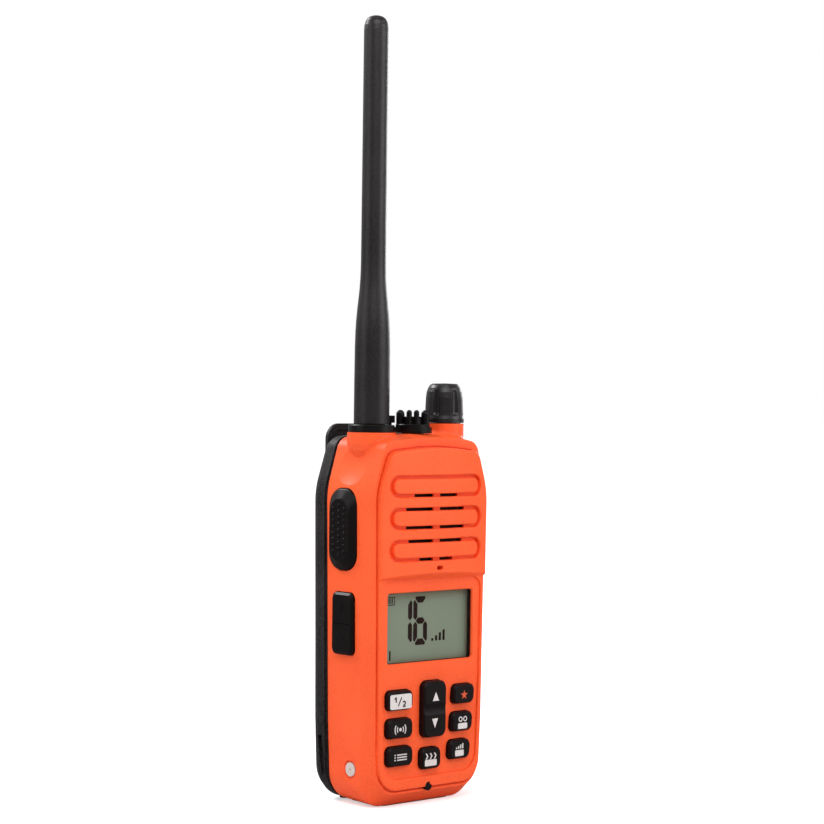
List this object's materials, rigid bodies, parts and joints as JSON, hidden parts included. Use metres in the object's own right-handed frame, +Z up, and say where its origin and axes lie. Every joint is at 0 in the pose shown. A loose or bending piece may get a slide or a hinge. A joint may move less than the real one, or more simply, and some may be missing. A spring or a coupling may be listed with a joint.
{
  "type": "handheld vhf marine radio",
  "caption": "Waterproof handheld two-way radio with whip antenna, volume knob, talk bar, display, rubber keypad, rear battery pack and spring belt clip.",
  "frame": {"origin": "middle of the flat pad under the housing, on the plane that the radio stands on", "axes": "+Z up along the antenna, -Y out of the display face, -X out of the side with the talk bar"},
  "size_m": [0.0612, 0.0506, 0.2959],
  "materials": {
    "orange_shell": "satin orange moulding with a fine grain",
    "black_shell": "satin black moulding with a fine grain",
    "soft_black": "matte black elastomer",
    "key_rubber": "matte dark silicone keys with pale legends",
    "seal_rubber": "matte seal rubber",
    "lens": "clear hard-coated lens",
    "lcd": "grey-green liquid crystal panel",
    "circuit_board": "solder-resist green",
    "steel": "plain steel",
    "nickel": "satin nickel plating",
    "brass": "machined brass",
    "gold_contact": "gold-plated contact",
    "speaker_metal": "dark coated steel basket",
    "cell_wrap": "shrink-wrapped cells"
  },
  "bodies": {
    "radio": {"front_housing": "orange_shell", "rear_chassis": "black_shell", "chassis_gasket": "seal_rubber", "chassis_screws": "steel", "battery_contacts": "gold_contact", "display_window": "lens", "display_panel": "lcd", "display_frame": "black_shell", "keypad_mat": "key_rubber", "key_board": "circuit_board", "main_board": "circuit_board", "rf_shield": "steel", "speaker": "speaker_metal", "speaker_membrane": "seal_rubber", "microphone": "steel", "vent_membrane": "seal_rubber", "ptt_switch": "black_shell", "side_switches": "black_shell", "ptt_membrane": "seal_rubber", "side_key_membrane": "seal_rubber", "water_contact_left": "nickel", "water_contact_right": "nickel", "antenna_socket": "brass", "antenna_collar": "black_shell", "antenna_oring": "seal_rubber", "volume_control": "steel", "knob_seal": "seal_rubber", "accessory_jack": "nickel", "jack_cap_tether": "soft_black"},
    "antenna": {"antenna_connector": "brass", "antenna_whip": "soft_black"},
    "knob": {"volume_knob": "black_shell", "volume_shaft": "steel"},
    "cap": {"jack_cap": "soft_black"},
    "talk_bar": {"ptt_button": "soft_black"},
    "side_rocker": {"side_key": "soft_black"},
    "channel_rocker": {"channel_key": "key_rubber"},
    "battery": {"battery_case": "black_shell", "battery_cover": "black_shell", "battery_cells": "cell_wrap", "battery_terminals": "gold_contact", "clip_base": "black_shell", "clip_screws": "steel", "clip_pin": "steel", "clip_spring": "steel"},
    "latch": {"battery_latch": "black_shell"},
    "clip": {"clip_lever": "black_shell"},
    "key_priority": {"key_priority": "key_rubber"},
    "key_call": {"key_call": "key_rubber"},
    "key_menu": {"key_menu": "key_rubber"},
    "key_favourite": {"key_favourite": "key_rubber"},
    "key_dual_watch": {"key_dual_watch": "key_rubber"},
    "key_power_level": {"key_power_level": "key_rubber"},
    "key_scan": {"key_scan": "key_rubber"}
  },
  "joints": [
    {"name": "antenna_screw", "type": "hinge", "parent": "radio", "child": "antenna", "pos_m": [-0.01865, -0.002, 0.142], "axis": [0, 0, 1], "range_deg": [0, 2160]},
    {"name": "volume_turn", "type": "hinge", "parent": "radio", "child": "knob", "pos_m": [0.0183, -0.0024, 0.145], "axis": [0, 0, 1], "range_deg": [-180, 100]},
    {"name": "cap_turn", "type": "hinge", "parent": "radio", "child": "cap", "pos_m": [0.0005, -0.004, 0.142], "axis": [0, 0, 1], "range_deg": [0, 90]},
    {"name": "talk_press", "type": "slide", "parent": "radio", "child": "talk_bar", "axis": [1, 0, 0], "range_m": [0, 0.0007], "stiffness_N_per_m": 2500, "springref_m": -0.0004},
    {"name": "side_rock", "type": "hinge", "parent": "radio", "child": "side_rocker", "pos_m": [-0.0275, 0.0007, 0.0683], "axis": [0, 1, 0], "range_deg": [-2.5, 2.5], "stiffness_Nm_per_rad": 0.2},
    {"name": "channel_rock", "type": "hinge", "parent": "radio", "child": "channel_rocker", "pos_m": [0.0004, -0.013, 0.036], "axis": [1, 0, 0], "range_deg": [-2, 2], "stiffness_Nm_per_rad": 0.2},
    {"name": "pack_swing", "type": "hinge", "parent": "radio", "child": "battery", "pos_m": [0, 0.01085, 0.14], "axis": [1, 0, 0], "range_deg": [0, 30]},
    {"name": "latch_slide", "type": "slide", "parent": "battery", "child": "latch", "axis": [0, 0, 1], "range_m": [0, 0.003], "stiffness_N_per_m": 400, "springref_m": -0.001},
    {"name": "clip_squeeze", "type": "hinge", "parent": "battery", "child": "clip", "pos_m": [0, 0.0248, 0.122], "axis": [1, 0, 0], "range_deg": [0, 14], "stiffness_Nm_per_rad": 0.8, "springref_deg": -6.88},
    {"name": "key_priority_press", "type": "slide", "parent": "radio", "child": "key_priority", "axis": [0, 1, 0], "range_m": [0, 0.0006], "stiffness_N_per_m": 1800, "springref_m": -0.0002},
    {"name": "key_call_press", "type": "slide", "parent": "radio", "child": "key_call", "axis": [0, 1, 0], "range_m": [0, 0.0006], "stiffness_N_per_m": 1800, "springref_m": -0.0002},
    {"name": "key_menu_press", "type": "slide", "parent": "radio", "child": "key_menu", "axis": [0, 1, 0], "range_m": [0, 0.0006], "stiffness_N_per_m": 1800, "springref_m": -0.0002},
    {"name": "key_favourite_press", "type": "slide", "parent": "radio", "child": "key_favourite", "axis": [0, 1, 0], "range_m": [0, 0.0006], "stiffness_N_per_m": 1800, "springref_m": -0.0002},
    {"name": "key_dual_watch_press", "type": "slide", "parent": "radio", "child": "key_dual_watch", "axis": [0, 1, 0], "range_m": [0, 0.0006], "stiffness_N_per_m": 1800, "springref_m": -0.0002},
    {"name": "key_power_level_press", "type": "slide", "parent": "radio", "child": "key_power_level", "axis": [0, 1, 0], "range_m": [0, 0.0006], "stiffness_N_per_m": 1800, "springref_m": -0.0002},
    {"name": "key_scan_press", "type": "slide", "parent": "radio", "child": "key_scan", "axis": [0, 1, 0], "range_m": [0, 0.0006], "stiffness_N_per_m": 1800, "springref_m": -0.0002}
  ]
}
